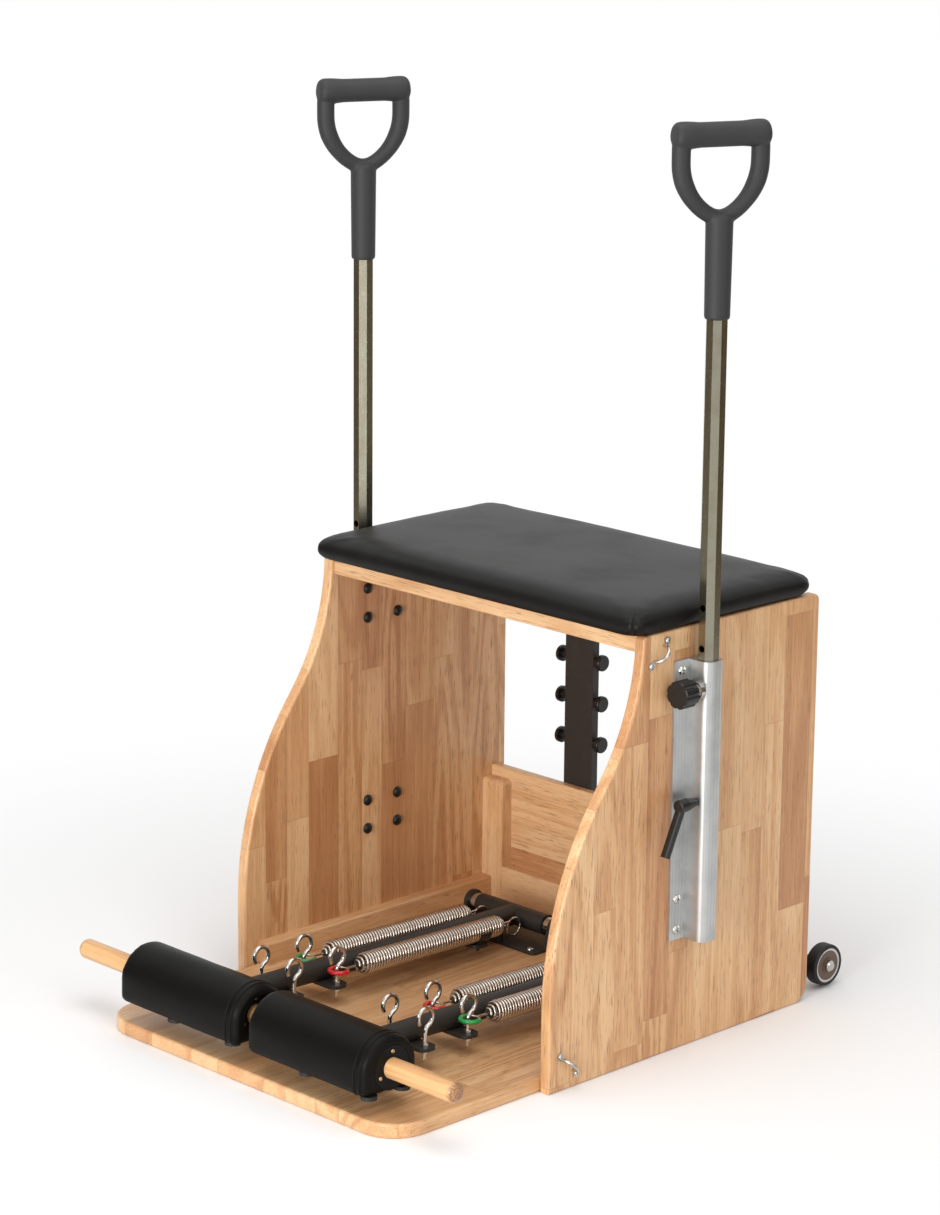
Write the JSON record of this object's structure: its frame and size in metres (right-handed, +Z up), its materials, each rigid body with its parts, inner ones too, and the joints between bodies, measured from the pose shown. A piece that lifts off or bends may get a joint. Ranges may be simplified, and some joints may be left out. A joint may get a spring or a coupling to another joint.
{
  "type": "pilates chair",
  "caption": "Wooden box seat with a leather cushion, two sprung hinged foot pedals joined by a dowel, spring trees, hand poles with D grips and transport wheels.",
  "frame": {"origin": "on the floor, in the middle of the wooden footing (base board front to side panel rear)", "axes": "+Z up, -Y to the front where the pedals are, X across the chair"},
  "size_m": [0.7531, 0.8761, 1.255],
  "materials": {
    "honey_wood": "satin varnish",
    "dowel_wood": "satin varnish",
    "black_leather": "soft grain",
    "black_steel": "satin powder coat",
    "zinc_steel": "bright plated",
    "spring_steel": "polished wire",
    "anodised": "satin anodised",
    "champagne": "polished anodised",
    "charcoal_plastic": "matt",
    "black_plastic": "matt",
    "black_rubber": "matt",
    "bronze_bush": "plain",
    "red_sleeve": "gloss",
    "green_sleeve": "gloss",
    "hub_plastic": "satin"
  },
  "bodies": {
    "frame": {"base_board": "honey_wood", "bolt_caps": "black_plastic", "bracket_screws": "zinc_steel", "corner_posts": "honey_wood", "eye_strap_screws": "zinc_steel", "eye_straps": "zinc_steel", "pin_collars": "zinc_steel", "pivot_axles": "zinc_steel", "pivot_brackets": "black_steel", "pivot_screws": "zinc_steel", "pivot_spacers": "zinc_steel", "pole_bracket_left": "anodised", "pole_bracket_right": "anodised", "rear_panel": "honey_wood", "rear_rail": "honey_wood", "seat_apron": "honey_wood", "seat_board": "honey_wood", "seat_cushion": "black_leather", "seat_rear_rail": "honey_wood", "side_panel_left": "honey_wood", "side_panel_right": "honey_wood", "side_rails": "honey_wood", "spring_trees": "black_steel", "tree_pegs": "black_plastic", "wheel_axles": "zinc_steel", "wheel_brackets": "black_steel"},
    "lever_left": {"clamp_lever_left": "black_plastic"},
    "lever_right": {"clamp_lever_right": "black_plastic"},
    "handle_left": {"hand_grip_left": "charcoal_plastic", "pole_left": "champagne"},
    "handle_right": {"hand_grip_right": "charcoal_plastic", "pole_right": "champagne"},
    "pedal_left": {"pad_end_plates_left": "black_steel", "pad_feet_left": "black_rubber", "pedal_arm_left": "black_steel", "pedal_pad_left": "black_leather", "pivot_bushes_left": "bronze_bush", "sleeve_green_left": "green_sleeve", "sleeve_red_left": "red_sleeve", "spring_clips_left": "black_plastic", "spring_hooks_left": "zinc_steel", "springs_left": "spring_steel"},
    "pedal_right": {"pad_end_plates_right": "black_steel", "pad_feet_right": "black_rubber", "pedal_arm_right": "black_steel", "pedal_pad_right": "black_leather", "pivot_bushes_right": "bronze_bush", "sleeve_green_right": "green_sleeve", "sleeve_red_right": "red_sleeve", "spring_clips_right": "black_plastic", "spring_hooks_right": "zinc_steel", "springs_right": "spring_steel"},
    "dowel": {"pedal_dowel": "dowel_wood"},
    "pin_left": {"pin_knob_left": "black_plastic"},
    "pin_right": {"pin_knob_right": "black_plastic"},
    "wheel_left": {"wheel_hub_left": "hub_plastic", "wheel_tyre_left": "black_rubber"},
    "wheel_right": {"wheel_hub_right": "hub_plastic", "wheel_tyre_right": "black_rubber"}
  },
  "joints": [
    {"name": "pedal_left_swing", "type": "hinge", "parent": "frame", "child": "pedal_left", "pos_m": [-0.129, 0.25, 0.05], "axis": [-1, 0, 0], "range_deg": [0, 45]},
    {"name": "handle_left_slide", "type": "slide", "parent": "frame", "child": "handle_left", "axis": [0, 0, 1], "range_m": [-0.11, 0.165]},
    {"name": "pin_left_pull", "type": "slide", "parent": "frame", "child": "pin_left", "axis": [0, -1, 0], "range_m": [0, 0.008], "stiffness_N_per_m": 600, "springref_m": -0.003},
    {"name": "lever_left_turn", "type": "hinge", "parent": "frame", "child": "lever_left", "pos_m": [-0.3335, 0.085, 0.355], "axis": [0, 1, 0], "range_deg": [0, 110]},
    {"name": "wheel_left_spin", "type": "hinge", "parent": "frame", "child": "wheel_left", "pos_m": [-0.288, 0.452, 0.033], "axis": [1, 0, 0], "continuous": true},
    {"name": "pedal_right_swing", "type": "hinge", "parent": "frame", "child": "pedal_right", "pos_m": [0.129, 0.25, 0.05], "axis": [-1, 0, 0], "range_deg": [0, 45]},
    {"name": "handle_right_slide", "type": "slide", "parent": "frame", "child": "handle_right", "axis": [0, 0, 1], "range_m": [-0.11, 0.165]},
    {"name": "pin_right_pull", "type": "slide", "parent": "frame", "child": "pin_right", "axis": [0, -1, 0], "range_m": [0, 0.008], "stiffness_N_per_m": 600, "springref_m": -0.003},
    {"name": "lever_right_turn", "type": "hinge", "parent": "frame", "child": "lever_right", "pos_m": [0.3335, 0.085, 0.355], "axis": [0, -1, 0], "range_deg": [0, 110]},
    {"name": "wheel_right_spin", "type": "hinge", "parent": "frame", "child": "wheel_right", "pos_m": [0.288, 0.452, 0.033], "axis": [1, 0, 0], "continuous": true},
    {"name": "dowel_slide", "type": "slide", "parent": "pedal_left", "child": "dowel", "axis": [1, 0, 0], "range_m": [0, 0.355]}
  ],
  "couplings": [
    {"joint": "pedal_right_swing", "follows": "pedal_left_swing", "ratio": 1}
  ]
}
